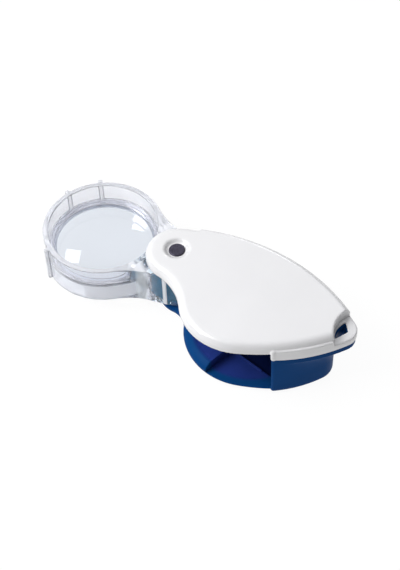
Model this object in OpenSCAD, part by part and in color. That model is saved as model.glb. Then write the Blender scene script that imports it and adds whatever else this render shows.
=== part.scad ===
// Folding illuminated pocket magnifier.
// Origin: pivot axis at the underside of the case. +X runs along the case to
// the lanyard end, +Z is up through the cover. The lens head is drawn swung
// out, its centre on -X; it folds into the case through the open -Y side.

/* [Overall] */
// Height of the closed case
case_t = 25; // [24:0.5:26]
// Distance from pivot axis to lens centre
arm = 29.3; // [29.2:0.05:29.4]
// Full angle the lens head turns when it folds away
swing = 161; // [158:1:162]

/* [Lens head] */
// Outer radius of the clear lens frame
ring_r = 20.7; // [20.5:0.1:20.8]
// Underside of the lens frame above the table
ring_z0 = 5.9; // [5.9:0.1:6.2]
// Top of the lens frame
ring_z1 = 20.6; // [20.4:0.1:20.7]
// Radius of the clear hub round the pivot
hub_r = 9.4; // [9.3:0.05:9.4]
// Top of the hub
hub_z1 = 21.4; // [21.2:0.1:21.4]
// Radius of the lens
lens_r = 17.5; // [17:0.1:17.5]
// Radius of curvature of the lens's upper face
lens_top_rc = 90; // [80:5:140]
// Radius of curvature of the lens's lower face
lens_low_rc = 230; // [180:5:260]

/* [Pivot] */
// Radius of the pivot pin's shaft
pin_r = 1.75; // [1.6:0.05:1.8]
// Radial running clearance on the pin and on the pivot boss
run_gap = 0.05; // [0.03:0.01:0.08]
// Radius of the pin's dark head
pin_head_r = 2.7; // [2.6:0.05:2.8]

/* [Battery] */
// Radius of the coin cell
cell_r = 10; // [9.9:0.05:10]
// Thickness of the coin cell
cell_t = 3.2; // [3:0.1:3.2]
// How far the battery door turns between locked and released
door_turn = 40; // [38:1:41]

/* [Hidden] */

lip_z = case_t - 2.7;        // foot of the cover's rounded edge, top of the base's lip
rim_z = case_t - 3.95;       // lower edge of the cover's rim over the open side
tip_z = case_t - 4.0;        // floor of the scoop at the lanyard end
skirt_z = case_t - 6.7;      // lower edge of the cover's skirt
deck_z = 5.5;                // deck over the battery, under the hub
floor_z = 2;                 // sunken floor of the lens bay
boss_r = 7.8;                // fixed pivot boss inside the hub
bore_r = 8.0;                // bore of the clear hub
flange_z = 9.0;              // top of the boss's running flange
boss_z = 18.4;               // top of the boss
bx = 17.0;                   // battery centre
by = -0.2;
track_a = -40;               // where the door's bayonet track starts
door_r = 10.75;
screw_x = 53.2;
screw_ys = [-0.95, -8.6];
ring_c = [-arm, 0];

// ---- plan outline of the case: six arcs, each tangent to the next ----
// meeting point of two circles, on the given side of the line between them
function meet(c1, r1, c2, r2, s) =
    let (d = c2 - c1, L = norm(d), a = (r1*r1 - r2*r2 + L*L) / (2*L),
         h = sqrt(max(r1*r1 - a*a, 0)), n = [-d[1], d[0]] / L)
    c1 + d*(a/L) + n*(s*h);
function dir(c, p) = atan2(p[1] - c[1], p[0] - c[0]);
function up(a0, a1) = a1 < a0 ? a1 + 360 : a1;
function down(a0, a1) = a1 > a0 ? a1 - 360 : a1;
function arc(c, r, a0, a1, n) =
    [for (i = [0:n-1]) let (a = a0 + (a1 - a0)*i/n) c + r*[cos(a), sin(a)]];
// h hub circle, b lens bulge, t tip, f far side, n near side, w waist
function loop(o, h, rh, b, rb, t, rt, rf, rn, rw) =
    let (f = meet(h, rf - rh, t, rf - rt, -1),
         n = meet(b, rn - rb, t, rn - rt, 1),
         w = meet(h, rw + rh, b, rw + rb, -1))
    concat(
        arc(t, rt + o, dir(n, t), up(dir(n, t), dir(f, t)), 12),
        arc(f, rf + o, dir(f, t), up(dir(f, t), dir(f, h)), 16),
        arc(h, rh + o, dir(f, h), up(dir(f, h), dir(h, w)), 14),
        arc(w, rw - o, dir(w, h), down(dir(w, h), dir(w, b)), 8),
        arc(b, rb + o, dir(b, w), up(dir(b, w), dir(n, b)), 16),
        arc(n, rn + o, dir(n, b), up(dir(n, b), dir(n, t)), 10));
function mix(a, b, k) = a + (b - a)*k;
// edge of the cover's plate
function plan(o) =
    loop(o, [0.2, -0.34], 10.58, [28.98, -7.59], 21.04, [60.6, -3.3], 5.4, 72, 69.5, 20.5);
// skirt round the closed sides
function skirt(o) =
    loop(o, [0.8, -0.4], 11.6, [28.6, -8.3], 19.62, [62.06, -2.27], 5.31, 69.2, 52.1, 20.5);
// walls of the case: k = 0 the tub on the table, k = 1 just inside the skirt
function tub(o, k = 0) =
    loop(o, mix([0.2, -0.34], [0.8, -0.4], k), mix(10.58, 11.2, k),
         mix([28.98, -7.59], [28.6, -8.3], k), mix(20.9, 19.22, k),
         mix([54.3, -5.98], [62.06, -2.27], k), mix(6.58, 4.91, k),
         mix(56, 68.8, k), mix(40.7, 51.7, k), mix(20.5, 20.9, k));
// tray under the hub and the lens bay
function tray(o) =
    loop(o, [2.4, 0.6], 9.36, [29.95, -3.96], 22.74, [44.76, -14.9], 7, 62, 59.35, 8.5);

// closed surface through rings of equal length, [z, points] each
module skin(rings) {
    m = len(rings);
    n = len(rings[0][1]);
    polyhedron(
        points = [for (r = rings) for (p = r[1]) [p[0], p[1], r[0]]],
        faces = concat(
            [[for (i = [0:n-1]) i]],
            [[for (i = [0:n-1]) (m-1)*n + n-1-i]],
            [for (j = [0:m-2]) for (i = [0:n-1])
                [j*n + i, (j+1)*n + i, (j+1)*n + (i+1)%n, j*n + (i+1)%n]]),
        convexity = 6);
}
module slab(pts, z0, z1) {
    translate([0, 0, z0]) linear_extrude(height = z1 - z0) polygon(pts);
}
module rod(x, y, r, z0, z1) {
    translate([x, y, z0]) cylinder(r = r, h = z1 - z0, $fn = 64);
}
module block(x0, x1, y0, y1, z0, z1) {
    translate([x0, y0, z0]) cube([x1 - x0, y1 - y0, z1 - z0]);
}
// part of a ring round the battery axis or the pivot
module sector(x, y, r0, r1, z0, z1, a0, a1) {
    translate([x, y, 0]) rotate([0, 0, a0])
        rotate_extrude(angle = a1 - a0, $fn = 96)
            translate([r0, z0]) square([r1 - r0, z1 - z0]);
}
// eye for the lanyard: curved towards the case, two straight sides at the tip
module eye(z0, z1) {
    intersection() {
        rod(68.1, -3.1, 7.1, z0, z1);
        slab([[62.1, 1.05], [64.65, -2.3], [62.2, -6.7], [58, -14], [55, 8]], z0, z1);
    }
}

// ---- case ----
// near-side wall starts at the notch, far-side wall beside the hub
wall_area = [[49.3, -26.6], [90, -26.6], [90, 40], [3.4, 40], [3.4, 8], [20, -5],
             [43.5, -13], [46.0, -20.2]];
skirt_area = [[49.5, -27.1], [90, -27.1], [90, 40], [4, 40], [4, 9],
              [20, -5], [43.5, -13], [46.2, -20.4]];
lip_area = [[50.7, -30], [90, -30], [90, 40], [5.3, 40], [5.3, 9],
            [20, -5], [44.8, -11.6], [47.6, -20.6]];
// sunken floor of the lens bay, right of the step in the deck
function step_x(y) = 26.1 + (y + 21.5)*0.325;
bay_area = [[step_x(-34), -34], [49.3, -34], [49.3, -26.6], [46.0, -20.2],
            [45.2, -12], [step_x(-12), -12]];
sunk_area = [[step_x(-40), -40], [90, -40], [90, 40], [step_x(40), 40]];
tip_area = [[59.6, -20], [90, -20], [90, 20], [59.6, 20]];

module walls() {
    intersection() {
        union() {
            slab(tub(-0.9), 0, 2);
            slab(tub(0), 1.2, 16);
            // ledge under the cover's skirt
            slab(tub(0, 0.45), 15.2, 17);
            slab(tub(0, 1), 16.3, 18.2);
            // lip that the skirt laps over
            intersection() {
                slab(plan(-0.6), 17.6, lip_z - 0.1);
                slab(lip_area, 0, 30);
            }
        }
        slab(wall_area, -1, 30);
    }
}
module bayonet_track() {
    for (a = [track_a, track_a + 180]) {
        sector(bx, by, 10.5, 12.05, 1.35, 2.35, a, a + door_turn + 20);
        sector(bx, by, 10.5, 12.05, -1, 1.5, a, a + 20);
    }
}
module base_shell() {
    color([0.06, 0.2, 0.4]) difference() {
        union() {
            difference() {
                union() {
                    slab(tray(-1.3), 0, 1);
                    slab(tray(-0.35), 0.6, 2);
                    slab(tray(0), 1.6, 3.6);
                    slab(tray(-0.8), 3.2, 4.6);
                    slab(tray(-2.2), 4.2, deck_z);
                    walls();
                }
                slab(tub(-1.1), deck_z, 19.2);
                intersection() {
                    slab(tub(-1.1), floor_z, deck_z + 0.5);
                    slab(sunk_area, 0, 30);
                }
                // open side: floor inside, a slightly higher band along the edge
                intersection() {
                    slab(tray(-3.0), floor_z, 4);
                    slab(bay_area, 0, 30);
                }
                slab(bay_area, floor_z + 0.9, 30);
                difference() {
                    slab(plan(-1.5), 18.9, 30);
                    slab(tip_area, 0, 40);
                }
                // the lip ends below the scoop
                slab([[59.45, -20], [90, -20], [90, 20], [59.45, 20]], tip_z - 1.05, 30);
            }
            // pivot boss with its running flange and the stop key
            rod(0, 0, bore_r - run_gap, deck_z - 0.5, flange_z);
            rod(0, 0, boss_r, deck_z - 0.5, boss_z);
            block(-0.75, 0.75, 5, 8.45, deck_z - 0.3, 7.3);
            for (y = screw_ys) rod(screw_x, y, 2.4, 1, 12);
        }
        // blind seat of the pivot pin
        rod(0, 0, pin_r, 3, boss_z + 1);
        // flat that the lamp board stands against
        block(-9, -5.4, -9, 9, flange_z, 30);
        // battery bay, its mouth and the door's track
        rod(bx, by, cell_r + 0.3, 2, 4.8);
        rod(bx, by, door_r + run_gap, -1, 2.35);
        bayonet_track();
        // channels of the two battery leads
        block(3.4, 8.8, -4.5, -2.7, 4.4, 4.95);
        block(3.4, 4.7, -3.8, -3.2, 4.4, 30);
        block(3.8, 8.8, 3.2, 3.8, 2.4, 4.7);
        block(3.8, 4.8, 3.2, 3.8, 4.4, 30);
        // pocket behind the edge of the sunken floor
        translate([31.8, -14.3, 0]) rotate([0, 0, -13.6])
            block(-2, 14, 0, 13, 0.9, 4);
        // screws from below, heads sunk
        for (y = screw_ys) {
            rod(screw_x, y, 1.95, -1, 3);
            rod(screw_x, y, 1.2, 2, 13);
        }
        eye(8, 30);
    }
}

module top_cover() {
    color([0.95, 0.95, 0.96]) difference() {
        union() {
            skin([[rim_z, plan(-0.15)], [rim_z + 0.2, plan(0)],
                  [case_t - 1.9, plan(0)], [case_t - 1.1, plan(-0.35)],
                  [case_t - 0.5, plan(-1.0)], [case_t - 0.15, plan(-1.9)],
                  [case_t, plan(-3.1)]]);
            // skirt round the closed sides
            intersection() {
                skin([[skirt_z, skirt(-0.15)], [skirt_z + 0.2, skirt(0)],
                      [case_t - 2.5, skirt(0)], [case_t - 2.1, skirt(-0.4)]]);
                slab(skirt_area, 0, 30);
            }
            for (y = screw_ys) rod(screw_x, y, 2.2, 12.05, 23.6);
        }
        // hollow of the plate
        difference() {
            slab(plan(-1.7), 10, case_t - 1.5);
            rod(0, 0, 7.4, lip_z, 30);
            for (y = screw_ys) rod(screw_x, y, 2.2, 12, 30);
            slab(tip_area, tip_z - 0.9, 30);
        }
        // deeper hollow of the closed sides, for the base's lip
        difference() {
            intersection() {
                slab(plan(-0.45), 10, lip_z);
                slab([[50.2, -30], [90, -30], [90, 40], [5, 40], [5, 9],
                      [20, -5], [44.5, -12], [47.1, -20.6]], 0, 40);
            }
            for (y = screw_ys) rod(screw_x, y, 2.2, 12, 30);
            slab(tip_area, tip_z - 0.9, 30);
        }
        // dish, counterbore and bore for the pivot pin
        translate([0, 0, case_t - 1.15])
            cylinder(r1 = 3.15, r2 = 4.5, h = 1.2, $fn = 64);
        rod(0, 0, pin_head_r + 0.05, case_t - 1.8, 30);
        rod(0, 0, pin_r + run_gap, 20, 30);
        // scoop at the lanyard end and its eye
        rod(71.5, -2.1, 11, tip_z, 30);
        eye(10, 30);
        for (y = screw_ys) rod(screw_x, y, 0.95, 11, 19.5);
    }
}

module case_screws() {
    color([0.7, 0.7, 0.72]) for (y = screw_ys) {
        difference() {
            rod(screw_x, y, 1.85, 1.2, 3);
            block(screw_x - 1.2, screw_x + 1.2, y - 0.2, y + 0.2, 1, 2);
            block(screw_x - 0.2, screw_x + 0.2, y - 1.2, y + 1.2, 1, 2);
        }
        rod(screw_x, y, 1.0, 3, 18);
    }
}

// ---- pivot ----
module pivot_pin() {
    color([0.24, 0.23, 0.27]) translate([0, 0, 0]) rotate_extrude($fn = 96)
        polygon([[0, 3.1], [pin_r - 0.3, 3.1], [pin_r, 3.4],
                 [pin_r, case_t - 1.8], [pin_head_r, case_t - 1.8],
                 [pin_head_r, case_t - 0.85], [pin_head_r - 0.2, case_t - 0.7],
                 [0, case_t - 0.7]]);
}
module spring_washer() {
    color([0.72, 0.72, 0.74]) rotate_extrude($fn = 96)
        polygon([[3.3, hub_z1 + 0.05], [6.6, lip_z - 0.32],
                 [6.6, lip_z - 0.07], [3.3, hub_z1 + 0.3]]);
}
module thrust_washer() {
    color([0.86, 0.86, 0.84]) difference() {
        rod(0, 0, 2.7, boss_z, 19.15);
        rod(0, 0, pin_r + run_gap, boss_z - 1, 20);
    }
}
module hub_bush() {
    color([0.78, 0.62, 0.3]) difference() {
        rod(0, 0, 3, 19.2, hub_z1);
        rod(0, 0, pin_r + run_gap, 19, hub_z1 + 1);
    }
}

// ---- lens head ----
// outline of frame, neck and hub, the neck hollowed by two wide fillets
neck_r = 26;
function head(o) =
    let (q = meet(ring_c, ring_r + neck_r, [0, 0], hub_r + neck_r, -1),
         p = [q[0], -q[1]])
    concat(
        arc(ring_c, ring_r + o, dir(ring_c, p), up(dir(ring_c, p), dir(ring_c, q)), 72),
        arc(q, neck_r - o, dir(q, ring_c), down(dir(q, ring_c), dir(q, [0, 0])), 6),
        arc([0, 0], hub_r + o, dir([0, 0], q), up(dir([0, 0], q), dir([0, 0], p)), 32),
        arc(p, neck_r - o, dir(p, [0, 0]), down(dir(p, [0, 0]), dir(p, ring_c)), 6));
// outside ribs of the frame: angle, how far they stand out, width
ribs = [[124.0, 1.3, 1.5], [157.6, 1.0, 1.5], [237.1, 1.3, 1.5], [330.3, 0.7, 1.0]];
module head_frame() {
    color([0.88, 0.89, 0.95, 0.5]) difference() {
        union() {
            skin([[ring_z0, head(-0.45)], [ring_z0 + 0.45, head(0)],
                  [ring_z1 - 0.3, head(0)], [ring_z1, head(-0.3)]]);
            rod(0, 0, 7.9, ring_z1 - 0.6, hub_z1);
            // grip ribs round the frame
            for (r = ribs)
                translate([-arm, 0, 0]) rotate([0, 0, r[0]])
                    block(19.6, ring_r + r[1], -r[2]/2, r[2]/2, ring_z0 + 0.5, ring_z1);
            // narrow rib down the hub
            rotate([0, 0, -88])
                block(8.6, hub_r + 0.5, -0.6, 0.6, ring_z0 + 0.3, ring_z1);
        }
        // well above the lens, seat for lens and retainer, eye flared below
        rod(-arm, 0, 18.9, 14.2, 30);
        rod(-arm, 0, lens_r + 0.9, 13, 30);
        rod(-arm, 0, lens_r + 0.05, 11, 30);
        rod(-arm, 0, 16.5, 10, 30);
        translate([-arm, 0, 5])
            cylinder(r1 = 19.945, r2 = 16.5, h = 5.3, $fn = 64);
        // bore of the hub, widened at its foot for the stop key
        rod(0, 0, bore_r, 0, 19.6);
        difference() {
            rod(0, 0, 8.6, 0, 7.6);
            // stop teeth, one for each end of the swing
            for (a = [103, 77 - swing]) rotate([0, 0, a])
                block(8.15, 9.2, -0.7, 0.7, -1, 8);
        }
        rod(0, 0, 3, 0, 30);
    }
}
module lens() {
    color([0.87, 0.9, 0.93, 0.4]) translate([-arm, 0, 0]) intersection() {
        translate([0, 0, 11]) cylinder(r = lens_r, h = 4, $fn = 128);
        translate([0, 0, 13 + lens_r*lens_r/(2*lens_top_rc) - lens_top_rc])
            sphere(r = lens_top_rc, $fn = 256);
    }
    color([0.87, 0.9, 0.93, 0.4]) translate([-arm, 0, 0]) intersection() {
        translate([0, 0, 6]) cylinder(r = 16.4, h = 5.01, $fn = 128);
        translate([0, 0, lens_low_rc + 11 - 16.4*16.4/(2*lens_low_rc)])
            sphere(r = lens_low_rc, $fn = 256);
    }
}
module lens_retainer() {
    color([0.85, 0.87, 0.93, 0.5]) difference() {
        rod(-arm, 0, lens_r + 0.88, 13.02, 14.15);
        rod(-arm, 0, 16.9, 12, 16);
        rod(-arm, 0, lens_r + 0.1, 12, 13.25);
    }
}

// ---- lamp and its switch ----
module contact_ring() {
    color([0.8, 0.64, 0.3]) sector(0, 0, 3.4, 6.6, 19.3, 19.6, -110, 90);
}
// a leaf that lies on the boss and rises to its tip
module leaf(w) {
    rotate([90, 0, 0]) translate([0, 0, -w/2]) linear_extrude(height = w)
        polygon([[0, 0], [2.4, 0], [4.6, 0.4], [4.6, 0.6], [2.4, 0.2], [0, 0.2]]);
}
module contact_finger_feed() {
    color([0.8, 0.64, 0.3]) {
        translate([4, -3.4, boss_z]) rotate([0, 0, 90]) leaf(0.8);
    }
}
module contact_finger_led() {
    color([0.8, 0.64, 0.3]) {
        translate([5.6, 3.2, boss_z]) rotate([0, 0, -90]) leaf(0.8);
        block(-6, 5.3, 2.85, 3.2, boss_z, boss_z + 0.2);
    }
}
module led_board() {
    color([0.1, 0.35, 0.2]) block(-6.2, -5.4, -3.2, 3.2, 9.2, boss_z);
}
module led() {
    color([0.95, 0.93, 0.8]) {
        block(-7, -6.2, -1.7, 1.7, 12.6, 15.4);
        translate([-7, 0, 14]) rotate([0, -90, 0])
            cylinder(r1 = 1.2, r2 = 0.8, h = 0.45, $fn = 48);
    }
}
module resistor() {
    color([0.12, 0.12, 0.13]) block(-6.7, -6.2, -0.8, 0.8, 10.2, 11.1);
}

// ---- battery ----
module battery_contact_pos() {
    color([0.75, 0.75, 0.76]) {
        block(4.0, 7.64, 3.4, 3.6, 2.6, 4.6);
        block(4.0, 4.6, 3.4, 3.6, 4.5, boss_z + 0.2);
        block(-6, 4.6, 3.4, 4.0, boss_z, boss_z + 0.2);
    }
}
module battery_contact_neg() {
    color([0.75, 0.75, 0.76]) {
        block(3.6, 18.5, -4.3, -2.9, 4.58, 4.76);
        rod(bx, -3.6, 0.6, 4.51, 4.7);
        block(3.6, 4.4, -3.6, -3.4, 4.6, boss_z + 0.2);
    }
}
module coin_cell() {
    color([0.78, 0.78, 0.8]) translate([bx, by, 0]) rotate_extrude($fn = 96)
        polygon([[0, 1.3], [cell_r - 0.3, 1.3], [cell_r, 1.6],
                 [cell_r, 3.9], [cell_r - 0.4, 4.2], [cell_r - 1.4, 4.2],
                 [cell_r - 1.5, 1.3 + cell_t], [0, 1.3 + cell_t]]);
}
module battery_door() {
    color([0.07, 0.22, 0.43]) difference() {
        union() {
            rod(bx, by, door_r, 0.2, 1.2);
            difference() {
                rod(bx, by, door_r, 1, 2.25);
                rod(bx, by, cell_r + 0.15, 0.9, 3);
            }
            for (a = [track_a + 2, track_a + 182])
                sector(bx, by, 10.3, 11.9, 1.5, 2.2, a + door_turn,
                       a + door_turn + 16);
        }
        translate([bx, by, 0]) rotate([0, 0, 30])
            block(-5.5, 5.5, -0.85, 0.85, 0, 0.75);
    }
}

base_shell();
top_cover();
case_screws();
pivot_pin();
spring_washer();
thrust_washer();
hub_bush();
head_frame();
lens();
lens_retainer();
contact_ring();
contact_finger_feed();
contact_finger_led();
led_board();
led();
resistor();
battery_contact_pos();
battery_contact_neg();
coin_cell();
battery_door();
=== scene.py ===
import math
import bpy
import numpy as np
from mathutils import Matrix, Vector


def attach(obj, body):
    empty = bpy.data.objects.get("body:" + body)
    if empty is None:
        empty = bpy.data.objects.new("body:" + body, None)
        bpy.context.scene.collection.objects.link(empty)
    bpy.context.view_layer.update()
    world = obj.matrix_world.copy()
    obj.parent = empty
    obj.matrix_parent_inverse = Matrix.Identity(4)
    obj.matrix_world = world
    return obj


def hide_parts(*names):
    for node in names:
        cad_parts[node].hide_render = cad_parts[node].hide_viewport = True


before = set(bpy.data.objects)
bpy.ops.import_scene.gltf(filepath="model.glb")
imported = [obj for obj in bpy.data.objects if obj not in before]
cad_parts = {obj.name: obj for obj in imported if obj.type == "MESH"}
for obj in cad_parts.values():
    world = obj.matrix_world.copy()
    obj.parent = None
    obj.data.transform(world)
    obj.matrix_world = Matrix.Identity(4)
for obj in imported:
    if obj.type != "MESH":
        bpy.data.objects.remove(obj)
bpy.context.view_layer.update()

MM = 0.001
scene = bpy.context.scene

# ---------------------------------------------------------------- camera
# The view of the photograph: 50.5 degrees above the table, 400 x 570 frame.
TH = math.radians(-31.294)


def to_row(v):
    """Turns a vector from the table's frame, x along the picture, into the row frame."""
    return Vector((v[0] * math.cos(TH) + v[1] * math.sin(TH),
                   -v[0] * math.sin(TH) + v[1] * math.cos(TH), v[2]))


elev = 0.881344
roll = -0.047422
fw = Vector((0, math.cos(elev), -math.sin(elev)))
rt = Vector((1, 0, 0))
upv = rt.cross(fw)
rt2 = rt * math.cos(roll) + upv * math.sin(roll)
up2 = -rt * math.sin(roll) + upv * math.cos(roll)
cam_data = bpy.data.cameras.new("camera")
cam_data.sensor_width = 36.0
cam_data.sensor_fit = "AUTO"
cam_data.lens = 1583.177 / 570.0 * 36.0
cam_data.clip_start = 0.01
cam_data.clip_end = 20
camera = bpy.data.objects.new("camera", cam_data)
scene.collection.objects.link(camera)
scene.camera = camera
cx, cu, cb = to_row(rt2), to_row(up2), to_row(-fw)
cp = to_row(Vector((7.1588, -345.9650, 424.6926)) * MM)
camera.matrix_world = Matrix(((cx[0], cu[0], cb[0], cp[0]),
                              (cx[1], cu[1], cb[1], cp[1]),
                              (cx[2], cu[2], cb[2], cp[2]),
                              (0, 0, 0, 1)))

# ---------------------------------------------------------------- implicit surfaces
# Everything here is in millimetres until it becomes a mesh. Negative is inside.


def smax(a, b, r):
    """Intersection with a rounded edge of radius r."""
    return np.minimum(-r, np.maximum(a, b)) + np.hypot(np.maximum(r + a, 0), np.maximum(r + b, 0))


def smin(a, b, r):
    """Union with a fillet of radius r."""
    return np.maximum(r, np.minimum(a, b)) - np.hypot(np.maximum(r - a, 0), np.maximum(r - b, 0))


def sub(a, b, r):
    return smax(a, -b, r)


def cyl(x, y, z, ox, oy, r, z0, z1, e=0.15):
    """Upright rod with rounded ends."""
    return smax(smax(np.hypot(x - ox, y - oy) - r, z - z1, e), z0 - z, e)


def box(x, y, z, x0, x1, y0, y1, z0, z1, e=0.15):
    d = smax(np.maximum(x0 - x, x - x1), np.maximum(y0 - y, y - y1), e)
    return smax(d, np.maximum(z0 - z, z - z1), e)


def line(x, y, p, q):
    """Signed distance to the line through p and q, positive on its left."""
    dx, dy = q[0] - p[0], q[1] - p[1]
    return (dx * (y - p[1]) - dy * (x - p[0])) / math.hypot(dx, dy)


def turned(x, y, ox, oy, deg):
    c, s = math.cos(math.radians(deg)), math.sin(math.radians(deg))
    return (x - ox) * c + (y - oy) * s, -(x - ox) * s + (y - oy) * c


def meet(c1, r1, c2, r2, s):
    d = (c2[0] - c1[0], c2[1] - c1[1])
    L = math.hypot(*d)
    a = (r1 * r1 - r2 * r2 + L * L) / (2 * L)
    h = math.sqrt(max(r1 * r1 - a * a, 0))
    return (c1[0] + d[0] * a / L - s * h * d[1] / L, c1[1] + d[1] * a / L + s * h * d[0] / L)


def ang(c, p):
    return math.degrees(math.atan2(p[1] - c[1], p[0] - c[0]))


class Loop:
    """The plan outline: tangent arcs round the tip, far side, hub, waist, bulge and near side."""

    def __init__(self, h, rh, b, rb, t, rt_, rf, rn, rw):
        f = meet(h, rf - rh, t, rf - rt_, -1)
        n = meet(b, rn - rb, t, rn - rt_, 1)
        w = meet(h, rw + rh, b, rw + rb, -1)
        self.arcs = [
            (t, rt_, ang(n, t), ang(f, t), 1),
            (f, rf, ang(f, t), ang(f, h), 1),
            (h, rh, ang(f, h), ang(h, w), 1),
            (w, rw, ang(w, b), ang(w, h), -1),
            (b, rb, ang(b, w), ang(n, b), 1),
            (n, rn, ang(n, b), ang(n, t), 1),
        ]

    def __call__(self, x, y):
        x, y = np.broadcast_arrays(np.asarray(x, float), np.asarray(y, float))
        best = np.full(x.shape, 1e3)
        for c, r, a0, a1, s in self.arcs:
            span = (a1 - a0) % 360
            a = (np.degrees(np.arctan2(y - c[1], x - c[0])) - a0) % 360
            d = np.where(a <= span, s * (np.hypot(x - c[0], y - c[1]) - r), 1e3)
            best = np.where(np.abs(d) < np.abs(best), d, best)
        return best


# PLAN is the edge of the cover's plate, SKIRT the closed sides round it, TUB the blue walls under
# the skirt and TRAY the low tray under the hub and the lens bay.
PLAN = Loop((0.2, -0.34), 10.58, (28.98, -7.59), 21.04, (60.6, -3.3), 5.4, 72, 69.5, 20.5)
SKIRT = Loop((0.8, -0.4), 11.6, (28.6, -8.3), 19.62, (62.06, -2.27), 5.31, 69.2, 52.1, 20.5)
TUB = Loop((0.2, -0.34), 10.58, (28.98, -7.59), 20.9, (54.3, -5.98), 6.58, 56, 40.7, 20.5)
TRAY = Loop((2.4, 0.6), 9.36, (29.95, -3.96), 22.74, (44.76, -14.9), 7.0, 62, 59.35, 8.5)


def surface(name, f, lo, hi, h):
    """Dual contouring of f < 0: one vertex per cell, put where the surface's planes in that cell
    meet, so that edges stay crisp, with the surface's own normals."""
    lo = np.array(lo, float)
    n = [int(np.ceil((hi[k] - lo[k]) / h)) + 1 for k in range(3)]
    ax = [lo[k] + h * np.arange(n[k]) for k in range(3)]
    F = np.empty(n, np.float32)
    for i in range(0, n[0], 24):
        F[i:i + 24] = f(ax[0][i:i + 24, None, None], ax[1][None, :, None], ax[2][None, None, :])
    S = F < 0
    c = np.zeros([m - 1 for m in n], np.int8)
    for i in (0, 1):
        for j in (0, 1):
            for k in (0, 1):
                c += S[i:n[0] - 1 + i, j:n[1] - 1 + j, k:n[2] - 1 + k]
    act = np.argwhere((c > 0) & (c < 8))
    m = len(act)
    idx = np.full([k + 2 for k in c.shape], -1, np.int32)
    idx[1:-1, 1:-1, 1:-1][tuple(act.T)] = np.arange(m)
    fv = lambda P: f(P[:, 0], P[:, 1], P[:, 2])
    eps = 0.012

    def grad(P):
        g = np.empty_like(P)
        for k in range(3):
            s = np.zeros(3)
            s[k] = eps
            g[:, k] = fv(P + s) - fv(P - s)
        return g / np.maximum(np.linalg.norm(g, axis=1, keepdims=True), 1e-12)

    acc = np.zeros((m, 16))
    quads = []
    for d in range(3):
        o1, o2 = (d + 1) % 3, (d + 2) % 3
        s0, s1 = [slice(None)] * 3, [slice(None)] * 3
        s0[d], s1[d] = slice(0, -1), slice(1, None)
        A, B = S[tuple(s0)], S[tuple(s1)]
        e = np.argwhere(A != B)
        va = F[tuple(s0)][tuple(e.T)].astype(float)
        vb = F[tuple(s1)][tuple(e.T)].astype(float)
        ta, tb = np.zeros(len(e)), np.ones(len(e))
        base = lo + h * e
        for it in range(4):
            t = ta + (tb - ta) * np.clip(va / (va - vb), 0.02, 0.98)
            P = base.copy()
            P[:, d] += h * t
            v = fv(P)
            left = (v < 0) == (va < 0)
            ta, va = np.where(left, t, ta), np.where(left, v, va)
            tb, vb = np.where(left, tb, t), np.where(left, vb, v)
        t = ta + (tb - ta) * va / np.where(va == vb, 1, va - vb)
        P = base.copy()
        P[:, d] += h * t
        N = grad(P)
        np_ = (N * P).sum(1)
        cols = np.column_stack((N[:, 0] ** 2, N[:, 0] * N[:, 1], N[:, 0] * N[:, 2],
                                N[:, 1] ** 2, N[:, 1] * N[:, 2], N[:, 2] ** 2,
                                N * np_[:, None], P, np.ones(len(P)), N))
        ids = []
        for u, v in ((1, 1), (0, 1), (0, 0), (1, 0)):
            g = e.copy() + 1
            g[:, o1] -= u
            g[:, o2] -= v
            q = idx[g[:, 0], g[:, 1], g[:, 2]]
            ids.append(q)
            ok = q >= 0
            for k in range(16):
                acc[:, k] += np.bincount(q[ok], weights=cols[ok, k], minlength=m)
        s = A[tuple(e.T)]
        q = np.stack(ids, 1)
        q[~s] = q[~s][:, ::-1]
        quads.append(q[(q >= 0).all(1)])
    Q = np.vstack(quads)
    cnt = acc[:, 12:13]
    M = acc[:, 9:12] / cnt
    ATA = np.empty((m, 3, 3))
    ATA[:, 0, 0], ATA[:, 0, 1], ATA[:, 0, 2] = acc[:, 0], acc[:, 1], acc[:, 2]
    ATA[:, 1, 0], ATA[:, 1, 1], ATA[:, 1, 2] = acc[:, 1], acc[:, 3], acc[:, 4]
    ATA[:, 2, 0], ATA[:, 2, 1], ATA[:, 2, 2] = acc[:, 2], acc[:, 4], acc[:, 5]
    b = acc[:, 6:9] - np.einsum("nij,nj->ni", ATA, M)
    ATA += 0.03 * np.eye(3)
    V = M + np.linalg.solve(ATA, b[:, :, None])[:, :, 0]
    V = np.clip(V, lo + h * act - 0.05 * h, lo + h * act + 1.05 * h)
    N = acc[:, 13:16]
    ln = np.linalg.norm(N, axis=1, keepdims=True)
    weak = ln[:, 0] < 0.3 * cnt[:, 0]
    N = N / np.maximum(ln, 1e-9)
    if weak.any():
        N[weak] = grad(V[weak])
    return build(name, V, Q, N)


def build(name, V, Q, N=None):
    me = bpy.data.meshes.new(name)
    V = np.asarray(V, float) * MM
    me.vertices.add(len(V))
    me.vertices.foreach_set("co", V.astype(np.float32).ravel())
    Q = np.asarray(Q)
    me.loops.add(Q.size)
    me.loops.foreach_set("vertex_index", Q.ravel().astype(np.int32))
    me.polygons.add(len(Q))
    me.polygons.foreach_set("loop_start", np.arange(0, Q.size, Q.shape[1], dtype=np.int32))
    me.polygons.foreach_set("loop_total", np.full(len(Q), Q.shape[1], np.int32))
    me.update(calc_edges=True)
    me.polygons.foreach_set("use_smooth", np.ones(len(me.polygons), bool))
    if N is not None:
        me.normals_split_custom_set_from_vertices(N.astype(np.float32).tolist())
    o = bpy.data.objects.new(name, me)
    scene.collection.objects.link(o)
    return o


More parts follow.
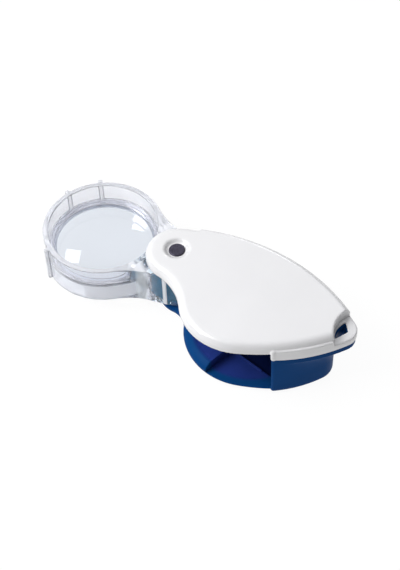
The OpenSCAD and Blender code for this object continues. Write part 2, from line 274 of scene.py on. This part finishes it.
def revolve(name, profile, ox, oy, n=192):
    """Lathe mesh. profile is (radius, z), either from axis to axis or a closed loop off the axis."""
    P = [(max(float(r), 0.0), float(z)) for r, z in profile]
    closed = P[0][0] > 1e-6
    a = np.linspace(0, 2 * np.pi, n, endpoint=False)
    V, ring = [], []
    for r, z in P:
        if r <= 1e-6:
            ring.append([len(V)] * n)
            V.append((ox, oy, z))
        else:
            ring.append(list(range(len(V), len(V) + n)))
            V += [(ox + r * math.cos(t), oy + r * math.sin(t), z) for t in a]
    faces = []
    for j in range(len(P) if closed else len(P) - 1):
        A, B = ring[j], ring[(j + 1) % len(P)]
        for i in range(n):
            k = (i + 1) % n
            f = []
            for v in (A[i], A[k], B[k], B[i]):
                if v not in f:
                    f.append(v)
            faces.append(f)
    me = bpy.data.meshes.new(name)
    me.from_pydata([(v[0] * MM, v[1] * MM, v[2] * MM) for v in V], [], faces)
    me.validate()
    me.polygons.foreach_set("use_smooth", np.ones(len(me.polygons), bool))
    o = bpy.data.objects.new(name, me)
    scene.collection.objects.link(o)
    return o


# ---------------------------------------------------------------- materials
def material(name):
    m = bpy.data.materials.new(name)
    m.use_nodes = True
    return m, m.node_tree, m.node_tree.nodes["Principled BSDF"]


def put(nt, kind, **inputs):
    n = nt.nodes.new(kind)
    for k, v in inputs.items():
        n.inputs[k.replace("_", " ")].default_value = v
    return n


def coords(nt):
    """Object coordinates in millimetres."""
    tc = nt.nodes.new("ShaderNodeTexCoord")
    mp = nt.nodes.new("ShaderNodeMapping")
    mp.inputs["Scale"].default_value = (1000, 1000, 1000)
    nt.links.new(tc.outputs["Object"], mp.inputs["Vector"])
    return mp.outputs["Vector"]


def noise(nt, v, scale, detail=2.0):
    n = put(nt, "ShaderNodeTexNoise", Scale=scale, Detail=detail)
    nt.links.new(v, n.inputs["Vector"])
    return n.outputs["Fac"]


def spread(nt, value, lo, hi, f0=0.3, f1=0.7):
    mr = put(nt, "ShaderNodeMapRange", From_Min=f0, From_Max=f1, To_Min=lo, To_Max=hi)
    nt.links.new(value, mr.inputs["Value"])
    return mr.outputs["Result"]


def tones(nt, value, lo, hi, p0=0.35, p1=0.65):
    r = nt.nodes.new("ShaderNodeValToRGB")
    r.color_ramp.elements[0].position = p0
    r.color_ramp.elements[0].color = list(lo) + [1]
    r.color_ramp.elements[1].position = p1
    r.color_ramp.elements[1].color = list(hi) + [1]
    nt.links.new(value, r.inputs["Fac"])
    return r.outputs["Color"]


def relief(nt, bsdf, height, depth):
    b = nt.nodes.new("ShaderNodeBump")
    b.inputs["Strength"].default_value = 1.0
    b.inputs["Distance"].default_value = depth * MM
    nt.links.new(height, b.inputs["Height"])
    nt.links.new(b.outputs["Normal"], bsdf.inputs["Normal"])


def around(nt, v, ox=0.0, oy=0.0):
    """Distance from the upright axis through (ox, oy), and the height."""
    sep = nt.nodes.new("ShaderNodeSeparateXYZ")
    nt.links.new(v, sep.inputs[0])
    flat = nt.nodes.new("ShaderNodeCombineXYZ")
    nt.links.new(sep.outputs["X"], flat.inputs["X"])
    nt.links.new(sep.outputs["Y"], flat.inputs["Y"])
    off = nt.nodes.new("ShaderNodeVectorMath")
    off.operation = "SUBTRACT"
    nt.links.new(flat.outputs[0], off.inputs[0])
    off.inputs[1].default_value = (ox, oy, 0)
    ln = nt.nodes.new("ShaderNodeVectorMath")
    ln.operation = "LENGTH"
    nt.links.new(off.outputs[0], ln.inputs[0])
    return ln.outputs["Value"], sep.outputs["Z"]


def times(nt, a, b):
    n = nt.nodes.new("ShaderNodeMath")
    n.operation = "MULTIPLY"
    nt.links.new(a, n.inputs[0])
    nt.links.new(b, n.inputs[1])
    return n.outputs[0]


def blend(nt, fac, a, b):
    n = nt.nodes.new("ShaderNodeMix")
    n.data_type = "RGBA"
    nt.links.new(fac, n.inputs["Factor"])
    for k, c in ((6, a), (7, b)):
        if isinstance(c, tuple):
            n.inputs[k].default_value = c + (1,)
        else:
            nt.links.new(c, n.inputs[k])
    return n.outputs[2]


def plastic(name, color, rough, tone=0.04, grain=6.0, bump=0.004, spec=0.5, coat=0.0):
    """Moulded plastic: faint flow marks in the colour, fine texture in roughness and bump."""
    m, nt, b = material(name)
    v = coords(nt)
    nt.links.new(tones(nt, noise(nt, v, 0.06, 3.0), [c * (1 - tone) for c in color],
                       [min(1, c * (1 + tone)) for c in color]), b.inputs["Base Color"])
    fine = noise(nt, v, grain)
    nt.links.new(spread(nt, fine, rough * 0.85, rough * 1.15), b.inputs["Roughness"])
    relief(nt, b, fine, bump)
    b.inputs["Specular IOR Level"].default_value = spec
    b.inputs["IOR"].default_value = 1.49
    b.inputs["Coat Weight"].default_value = coat
    b.inputs["Coat Roughness"].default_value = 0.03
    return m


def case_blue():
    """Blue moulded plastic, satin inside and out, with the fine-textured pivot boss in a paler teal, painted
    lighter towards its top as painted light from above; the tray floor carries a painted reflection of the
    white cover and, in its pocket, painted shade.
    """
    m, nt, b = material("case_blue")
    v = coords(nt)
    r, z = around(nt, v)
    pivot = times(nt, spread(nt, r, 1.0, 0.0, 8.1, 8.3), spread(nt, z, 0.0, 1.0, 6.2, 7.4))
    # the floor inside the tray is painted more violet than the outside walls: a painted reflection of the
    # shaded white cover above it
    r2, z = around(nt, v, 29.95, -3.96)
    r3, z = around(nt, v, 19.77, -41.33)
    inside = times(nt, times(nt, spread(nt, r2, 1.0, 0.0, 19.2, 20.6), spread(nt, z, 1.0, 0.0, 5.65, 7.0)),
                   times(nt, spread(nt, r3, 1.0, 0.0, 55.1, 55.4), spread(nt, z, 0.0, 1.0, 0.3, 0.6)))
    outer = tones(nt, noise(nt, v, 0.06, 3.0), (0.0030, 0.047, 0.172), (0.0040, 0.053, 0.193))
    floor_painted_light = tones(nt, noise(nt, v, 0.1, 3.0), (0.014, 0.036, 0.200), (0.020, 0.041, 0.225))
    # the pocket floor, below 1.9 mm, is painted near-black: painted shade under the cover
    floor_painted_light = blend(nt, spread(nt, z, 1.0, 0.0, 1.0, 1.9), floor_painted_light, (0.004, 0.010, 0.060))
    # the boss's teal runs from dark at its foot to light at its top: painted light from above
    boss = tones(nt, spread(nt, z, 0.0, 1.0, 7.0, 18.0),
                 (0.02, 0.20, 0.36), (0.08, 0.46, 0.72), 0.0, 1.0)
    nt.links.new(blend(nt, pivot, blend(nt, inside, outer, floor_painted_light), boss), b.inputs["Base Color"])
    fine = noise(nt, v, 8.0)
    nt.links.new(spread(nt, fine, 0.3, 0.42), b.inputs["Roughness"])
    relief(nt, b, fine, 0.004)
    b.inputs["Specular IOR Level"].default_value = 0.02
    b.inputs["IOR"].default_value = 1.49
    return m


def clear(name, tint, rough, haze, density, dcol=(0.72, 0.76, 0.93, 1), milk=1.0, hub=None):
    """Clear moulded acrylic: the faint waviness of the mould and a breath of tint in thick places."""
    m, nt, b = material(name)
    v = coords(nt)
    relief(nt, b, noise(nt, v, 0.3, 1.0), haze)
    nt.links.new(spread(nt, noise(nt, v, 4.0), rough * 0.7, rough * 1.3), b.inputs["Roughness"])
    b.inputs["Base Color"].default_value = tint + (1,)
    b.inputs["Transmission Weight"].default_value = milk
    if hub:
        # the wall round the pivot is a little deeper in tint and reflects less
        r, z = around(nt, v)
        near = spread(nt, r, 1.0, 0.0, 9.6, 11.5)
        # the bore shows the blue of the boss, except towards the lens, where the lamp shines out
        side = nt.nodes.new("ShaderNodeSeparateXYZ")
        nt.links.new(v, side.inputs[0])
        bore = times(nt, times(nt, spread(nt, r, 1.0, 0.0, 8.15, 8.35),
                               spread(nt, side.outputs["Y"], 1.0, 0.0, -3.6, -3.0)),
                     spread(nt, z, 1.0, 0.0, 19.2, 19.5))
        # satin: the bore under the lens and the grip ribs
        rl, z = around(nt, v, -29.3, 0.0)
        low = times(nt, spread(nt, rl, 1.0, 0.0, 19.6, 19.9), spread(nt, z, 1.0, 0.0, 10.5, 10.9))
        wide = spread(nt, rl, 0.0, 1.0, 20.75, 20.95)
        out = times(nt, wide, spread(nt, r, 0.0, 1.0, 22.5, 23.0))
        neck = times(nt, times(nt, wide, spread(nt, r, 1.0, 0.0, 14.8, 15.8)),
                     spread(nt, r, 0.0, 1.0, 11.5, 13.0))
        top = times(nt, spread(nt, z, 0.0, 1.0, 20.3, 20.5), spread(nt, r, 0.0, 1.0, 11.5, 13.0))
        r3, z = around(nt, v, -11.0, -10.45)
        thin = spread(nt, r3, 1.0, 0.0, 0.7, 0.85)
        off = nt.nodes.new("ShaderNodeMath")
        off.operation = "COMPARE"
        off.inputs[1].default_value = 0.33
        off.inputs[2].default_value = 0.7
        nt.links.new(side.outputs["X"], off.inputs[0])
        rib = times(nt, off.outputs[0], spread(nt, side.outputs["Y"], 1.0, 0.0, -9.55, -9.4))
        color = blend(nt, near, tint, hub)
        color = blend(nt, low, color, (0.86, 0.89, 0.95))
        color = blend(nt, bore, color, (0.06, 0.23, 0.385))
        color = blend(nt, neck, color, (0.90, 0.95, 0.985))
        for n in (out, rib, thin, top):
            color = blend(nt, n, color, (0.93, 0.94, 0.97))
        nt.links.new(color, b.inputs["Base Color"])
        nt.links.new(blend(nt, near, (1.0, 1.0, 1.0), (0.35, 0.5, 0.6)), b.inputs["Specular Tint"])
        tr = spread(nt, near, milk, 0.99, 0.0, 1.0)
        for n, w in ((low, 0.45), (bore, 0.0), (out, 0.8), (neck, 0.62), (rib, 0.2), (thin, 0.4), (top, 0.72)):
            tr = times(nt, tr, spread(nt, n, 1.0, w, 0.0, 1.0))
        nt.links.new(tr, b.inputs["Transmission Weight"])
    b.inputs["IOR"].default_value = 1.49
    if density:
        va = nt.nodes.new("ShaderNodeVolumeAbsorption")
        va.inputs["Color"].default_value = dcol
        va.inputs["Density"].default_value = density
        nt.links.new(va.outputs["Volume"], nt.nodes["Material Output"].inputs["Volume"])
    return m


def metal(name, color, rough, scale=3.0, bump=0.01, speck=0.0):
    m, nt, b = material(name)
    n1 = noise(nt, coords(nt), scale, 4.0)
    nt.links.new(tones(nt, n1, [c * (0.75 - speck) for c in color],
                       [min(1, c * (1.1 + speck)) for c in color], 0.35, 0.7), b.inputs["Base Color"])
    b.inputs["Metallic"].default_value = 1.0
    nt.links.new(spread(nt, n1, rough * 0.7, rough * 1.3), b.inputs["Roughness"])
    relief(nt, b, n1, bump)
    return m


WHITE = plastic("cover_white", (0.765, 0.765, 0.775), 0.16, tone=0.012, grain=5, bump=0.002)
BLUE = case_blue()
CLEAR = clear("clear_frame", (0.93, 0.94, 0.985), 0.04, 0.006, 14.0, milk=0.92,
              hub=(0.70, 0.90, 0.985))
LENS = clear("lens_clear", (0.77, 0.81, 0.87), 0.004, 0.002, 6.0)
PIN = metal("pin_dark", (0.080, 0.075, 0.105), 0.5, scale=4.5, bump=0.03, speck=0.4)
STEEL = metal("steel", (0.55, 0.55, 0.57), 0.28)
NICKEL = metal("nickel", (0.62, 0.6, 0.56), 0.25)
BRASS = metal("brass", (0.72, 0.5, 0.2), 0.3)
NYLON = plastic("washer_nylon", (0.75, 0.75, 0.7), 0.5, tone=0.05, grain=3)
BOARD = plastic("board", (0.02, 0.13, 0.06), 0.35, tone=0.2, grain=2)
LAMP = plastic("lamp", (0.9, 0.86, 0.6), 0.2, tone=0.03, grain=2)
CHIP = plastic("chip", (0.02, 0.02, 0.022), 0.5, tone=0.2, grain=4)

for nodes, m in ((("thrust_washer",), NYLON), (("spring_washer", "case_screws", "coin_cell"), STEEL),
                 (("hub_bush", "contact_ring", "contact_finger_feed", "contact_finger_led"), BRASS),
                 (("led_board",), BOARD), (("led",), LAMP), (("resistor",), CHIP),
                 (("battery_contact_pos", "battery_contact_neg"), NICKEL),
                 (("base_shell", "battery_door"), BLUE), (("top_cover",), WHITE),
                 (("pivot_pin",), PIN), (("head_frame", "lens_retainer"), CLEAR), (("lens",), LENS)):
    for n in nodes:
        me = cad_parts[n].data
        me.materials.clear()
        me.materials.append(m)

# ---------------------------------------------------------------- top cover
SCREWS = ((53.2, -0.95), (53.2, -8.6))
STEP = ((26.1, -21.5), (36.5, 10.5))
CELL = (17.0, -0.2)


def eye2(x, y, g=0.0):
    """The lanyard hole: curved towards the case, two straight sides towards the tip."""
    d = smax(np.hypot(x - 68.1, y + 3.1) - 7.1, line(x, y, (64.65, -2.3), (62.1, 1.05)) * -1, 0.5)
    return smax(d, line(x, y, (62.2, -6.7), (64.65, -2.3)) * -1, 0.5) - g


def notch_side(x, y, p, q, x0):
    """Positive where the closed sides have no wall: left of the notch, and past x0 on the far side."""
    return np.where(y + 0 * x > -6, x0 - x, line(x, y, p, q))


def cover_f(x, y, z):
    d, ds = PLAN(x, y), SKIRT(x, y)
    # on the far side the plate runs out to the skirt, so that they share one edge
    far = smax(ds + 0.15, np.maximum(2.0 - x, -3.0 - y), 1.5)
    plate = smax(smax(smin(d, far, 0.4), z - 25.0, 2.7), 21.05 - z, 0.25)
    sk = smax(smax(ds, z - 22.9, 0.5), 18.3 - z, 0.3)
    open_ = notch_side(x, y, (49.5, -27.1), (46.2, -20.4), 4.0)
    sk = smax(sk, open_, 1.1)
    body = smin(plate, sk, 0.25)
    # upright bead where the skirt ends at the notch
    body = smin(body, cyl(x, y, z, 47.54, -21.79, 0.76, 18.3, 22.9, 0.6), 0.45)
    # hollow under the plate, and the deeper one that takes the case's lip along the closed sides
    inner = smax(smax(d + 1.7, z - 23.5, 0.4), 10 - z, 0.1)
    inner = sub(inner, smax(np.hypot(x, y) - 7.4, 22.3 - z, 0.05), 0.3)
    inner = sub(inner, smax(59.6 - x, 20.1 - z, 0.1), 0.3)
    inner2 = smax(smax(d + 0.45, z - 22.3, 0.1), open_ + 1.0, 0.1)
    inner2 = sub(inner2, smax(59.6 - x, 20.1 - z, 0.1), 0.3)
    body = sub(sub(body, inner, 0.2), inner2, 0.2)
    for sx, sy in SCREWS:
        body = smin(body, cyl(x, y, z, sx, sy, 2.2, 12.05, 23.6, 0.2), 0.4)
        body = sub(body, cyl(x, y, z, sx, sy, 0.95, 9, 19.5, 0.1), 0.1)
    # dish round the pin
    rr = np.hypot(x, y)
    dish = smax((rr - 4.5) * 0.66 + (25.0 - z) * 0.75, 23.85 - z, 0.2)
    body = sub(body, dish, 0.35)
    body = sub(body, smax(rr - 2.75, 23.2 - z, 0.05), 0.08)
    body = sub(body, rr - 1.8, 0.08)
    # scoop at the tip and the lanyard hole through its floor
    body = sub(body, smax(np.hypot(x - 71.5, y + 2.1) - 11.0, 21.0 - z, 0.3), 0.6)
    return sub(body, eye2(x, y), 0.3)


# ---------------------------------------------------------------- base
def tray_edge(z):
    """How far the tray's side stands in from its outline at height z, and the slope of that."""
    up = np.clip((z - 2.9) / 2.6, 0, 1)
    dn = np.clip((2.9 - z) / 2.9, 0, 1)
    o = 2.5 * up ** 1.75 + 2.0 * dn ** 2.5
    s = 2.5 * 1.75 / 2.6 * up ** 0.75 + 2.0 * 2.5 / 2.9 * dn ** 1.5
    return o, s


def base_f(x, y, z):
    dt = TRAY(x, y)
    d0, d1, ds = TUB(x, y), PLAN(x, y), SKIRT(x, y) + 0.4
    o, s = tray_edge(z)
    tray = smax(smax((dt + o) / np.sqrt(1 + s * s), z - 5.5, 0.25), -z, 0.05)
    # walls: upright from the foot, flaring out over the lanyard end to the cover's full plan
    k = np.clip((z - 8.2) / 7.6, 0, 1)
    kk = 0.03 * np.clip(z, 0, 8.2) / 8.2 + 0.97 * (1 - np.sqrt(np.maximum(1 - k * k, 0)))
    foot = 1.6 * np.clip((2.6 - z) / 2.6, 0, 1) ** 2.5
    wall = smax(smax(d0 + (ds - d0) * kk + foot, z - 18.2, 0.15), -z, 0.05)
    wall = smax(wall, notch_side(x, y, (49.3, -26.6), (46.0, -20.2), 3.4), 1.0)
    lip = smax(smax(d1 + 0.6, z - 22.2, 0.15), 17.6 - z, 0.1)
    lip = smax(lip, notch_side(x, y, (49.5, -27.1), (46.2, -20.4), 4.0) + 1.3, 0.1)
    wall = np.minimum(wall, lip)
    body = np.maximum(smin(tray, wall, 0.3), -z)
    step = line(x, y, *STEP)
    # main hollow down to the deck, then the sunken floor right of the step
    body = sub(body, smax(smax(d0 + 1.1, 5.5 - z, 0.15), z - 19.2, 0.1), 0.15)
    t = np.clip((dt + 3.7) / 1.3, 0, 1)
    floor = 2.0 + 0.9 * t * t * (3 - 2 * t) - 1.0 * (np.maximum(dt + 2.4, 0) / 2.4) ** 2
    # the rim runs down past the end of the step in a ramp
    t = np.clip((dt + 3.6) / 1.0, 0, 1)
    floor = floor + 2.6 * t * t * (3 - 2 * t) * np.clip(1 + step / 6.0, 0, 1) ** 2
    body = sub(body, smax(smax(d0 + 1.1, 2.0 - z, 0.3), step, 0.1), 0.2)
    bay = smax(smax(step, floor - z, 0.3), -line(x, y, (49.3, -26.6), (46.0, -20.2)), 0.2)
    body = sub(body, np.maximum(bay, y + 12.0), 0.25)
    body = sub(body, smax(smax(d1 + 1.5, 18.9 - z, 0.15), x - 59.6, 0.1), 0.15)
    body = sub(body, smax(59.45 - x, 19.95 - z, 0.1), 0.1)
    # fine groove round the deck
    rim = smax(smax(np.abs(dt + 3.8) - 0.28, 5.15 - z, 0.05), np.maximum(0.6 - step, y + 8.0), 0.05)
    body = sub(body, rim, 0.1)
    # pocket behind the floor's edge line
    u, v = turned(x, y, 31.8, -14.3, -13.6)
    body = sub(body, box(u, v, z, -2.0, 14.0, 0.0, 13.0, 0.9, 3.0, 0.2), 0.15)
    body = smin(body, box(u, v, z, -2.0, 9.5, -0.55, -0.05, 1.4, 2.4, 0.15), 0.1)
    # boss and the key
    body = smin(body, cyl(x, y, z, 0, 0, 7.95, 4.5, 9.0, 0.15), 0.2)
    body = smin(body, cyl(x, y, z, 0, 0, 7.8, 4.5, 18.4, 0.3), 0.1)
    body = np.minimum(body, box(x, y, z, -0.75, 0.75, 5, 8.45, 5.2, 7.3, 0.1))
    for sx, sy in SCREWS:
        body = smin(body, cyl(x, y, z, sx, sy, 2.4, 1, 12, 0.2), 0.4)
    body = sub(body, smax(np.hypot(x, y) - 1.75, 3 - z, 0.1), 0.1)
    body = sub(body, box(x, y, z, -9, -5.4, -9, 9, 9.0, 30, 0.1), 0.1)
    bx, by = CELL
    body = sub(body, cyl(x, y, z, bx, by, 10.3, 2, 4.8, 0.1), 0.1)
    body = sub(body, cyl(x, y, z, bx, by, 10.8, -1, 2.35, 0.1), 0.15)
    rb = np.hypot(x - bx, y - by)
    ab = (np.degrees(np.arctan2(y - by, x - bx)) + 40) % 180
    trk = smax(rb - 12.05, -np.minimum(ab, 60 - ab) * 0.2, 0.05)
    body = sub(body, smax(smax(trk, 1.35 - z, 0.05), z - 2.35, 0.05), 0.05)
    ent = smax(rb - 12.05, -np.minimum(ab, 20 - ab) * 0.2, 0.05)
    body = sub(body, smax(ent, z - 1.5, 0.05), 0.1)
    for q in ((3.4, 8.8, -4.5, -2.7, 4.4, 4.95), (3.4, 4.7, -3.8, -3.2, 4.4, 30),
              (3.8, 8.8, 3.2, 3.8, 2.4, 4.7), (3.8, 4.8, 3.2, 3.8, 4.4, 30)):
        body = sub(body, box(x, y, z, *q, 0.05), 0.05)
    for sx, sy in SCREWS:
        body = sub(body, cyl(x, y, z, sx, sy, 1.95, -1, 3, 0.1), 0.15)
        body = sub(body, cyl(x, y, z, sx, sy, 1.2, 2, 13, 0.1), 0.1)
    return sub(body, smax(eye2(x, y, -0.25), 8 - z, 0.2), 0.25)


# ---------------------------------------------------------------- lens head
ARM = 29.3
RIBS = ((124.0, 1.3, 0.75), (157.6, 1.0, 0.75), (237.1, 1.3, 0.75), (330.3, 0.7, 0.5))


def head_f(x, y, z):
    rr = np.hypot(x + ARM, y)
    rh = np.hypot(x, y)
    body = smax(smax(smin(rr - 20.7, rh - 9.4, 14.0), z - 20.6, 0.35), 5.9 - z, 0.5)
    body = smin(body, cyl(x, y, z, 0, 0, 7.9, 19, 21.4, 0.3), 0.2)
    for a, t, w in RIBS:
        u, v = turned(x, y, -ARM, 0, a)
        body = smin(body, box(u, v, z, 19.6, 20.7 + t, -w, w, 6.4, 20.6, 0.3), 0.3)
    u, v = turned(x, y, 0, 0, -88)
    body = smin(body, box(u, v, z, 8.6, 9.9, -0.6, 0.6, 6.2, 20.6, 0.2), 0.3)
    body = sub(body, smax(rr - 18.9, 14.2 - z, 0.2), 0.3)
    body = sub(body, smax(rr - 18.4, 13.0 - z, 0.1), 0.15)
    body = sub(body, smax(rr - 17.55, 11.0 - z, 0.1), 0.1)
    # the eye below the lens flares out towards its foot
    body = sub(body, np.maximum(rr - 16.5, 10.0 - z), 0.15)
    body = sub(body, np.maximum(((rr - 16.5) - 0.65 * (10.3 - z)) * 0.838, z - 10.3), 0.15)
    body = sub(body, smax(rh - 8.0, z - 19.6, 0.2), 0.15)
    foot = smax(rh - 8.6, z - 7.6, 0.1)
    for a in (103.0, -84.0):
        u, v = turned(x, y, 0, 0, a)
        foot = sub(foot, box(u, v, z, 8.15, 9.2, -0.7, 0.7, -1, 8, 0.05), 0.05)
    body = sub(body, foot, 0.1)
    return sub(body, rh - 3.0, 0.1)


H = 0.36
cover = surface("cover", cover_f, (-11.2, -31, 11.6), (69, 17.4, 26), H)
base = surface("base", base_f, (-11.2, -31, -1), (69, 17.4, 23.2), H)
head = surface("head", head_f, (-51.2, -22.6, 5), (11, 22.6, 22.2), H)
for o, m, b, n, s in ((cover, WHITE, "case", "top_cover", "cover_white"),
                      (base, BLUE, "case", "base_shell", "case_blue"),
                      (head, CLEAR, "lens_head", "head_frame", "clear_frame")):
    o.data.materials.append(m)
    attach(o, b)
    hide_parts(n)


def cap(r, z, rc, n, side):
    """Points of a spherical face from its edge (r, z) to the axis. side +1 bulges up."""
    s0 = math.sqrt(rc * rc - r * r)
    return [(r * (1 - i / n), z + side * (math.sqrt(rc * rc - (r * (1 - i / n)) ** 2) - s0))
            for i in range(n + 1)]


edge = [(16.7, 11.0), (17.35, 11.0), (17.47, 11.06), (17.5, 11.2), (17.5, 12.85), (17.46, 12.98)]
prof = cap(16.4, 10.98, 230, 48, -1)[::-1] + edge + cap(17.35, 13.02, 90, 48, 1)
lens = revolve("lens_glass", prof, -ARM, 0, 256)
lens.data.materials.append(LENS)
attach(lens, "lens_head")
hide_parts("lens")

# ---------------------------------------------------------------- floor, light, world
bpy.ops.mesh.primitive_plane_add(size=6, location=(0, 0, -0.0002))
floor = bpy.context.object
floor.name = "floor"
fm, nt, b = material("floor")
b.inputs["Base Color"].default_value = (0.06, 0.06, 0.06, 1)
b.inputs["Roughness"].default_value = 0.9
b.inputs["Specular IOR Level"].default_value = 0.0
b.inputs["Emission Color"].default_value = (1, 1, 1, 1)
b.inputs["Emission Strength"].default_value = 0.95
floor.data.materials.append(fm)

world = bpy.data.worlds.new("world")
scene.world = world
world.use_nodes = True
wn = world.node_tree
tc = wn.nodes.new("ShaderNodeTexCoord")


def from_table(az, el, dist=1.0):
    """A place az degrees right of straight away from the viewer and el degrees up."""
    a, e = math.radians(az), math.radians(el)
    return to_row(Vector((math.sin(a) * math.cos(e), math.cos(a) * math.cos(e), math.sin(e)))) * dist


# a broad glow high up, to the left and behind, fading to a dark studio all round
dot = wn.nodes.new("ShaderNodeVectorMath")
dot.operation = "DOT_PRODUCT"
wn.links.new(tc.outputs["Generated"], dot.inputs[0])
dot.inputs[1].default_value = from_table(-40, 72)
ramp = wn.nodes.new("ShaderNodeValToRGB")
ramp.color_ramp.interpolation = "EASE"
for p, c in ((0.0, 0.03), (0.45, 0.07), (0.95, 1.0)):
    e = ramp.color_ramp.elements.new(p) if 0 < p < 0.95 else ramp.color_ramp.elements[0 if p == 0 else -1]
    e.position = p
    e.color = (c, c, c * 1.02, 1)
wn.links.new(dot.outputs["Value"], ramp.inputs["Fac"])
wn.links.new(ramp.outputs["Color"], wn.nodes["Background"].inputs["Color"])
wn.nodes["Background"].inputs["Strength"].default_value = 1.1


def area(name, loc, target, size, power, size_y=None):
    ld = bpy.data.lights.new(name, "AREA")
    ld.energy = power
    ld.size = size
    if size_y:
        ld.shape = "RECTANGLE"
        ld.size_y = size_y
    o = bpy.data.objects.new(name, ld)
    scene.collection.objects.link(o)
    o.location = loc
    d = Vector(target) - Vector(loc)
    o.rotation_euler = d.to_track_quat("-Z", "Y").to_euler()
    return o


# a soft box behind the object, which the lens mirrors, and a wide one over it, to its left
area("back_box", from_table(11.9, 36, 1.2), (-0.025, 0.01, 0.014), 0.14, 1.23, 0.285)
area("top_box", from_table(-95, 46, 0.5), (0, 0, 0.02), 0.32, 2.1)
scene.view_settings.view_transform = "Standard"
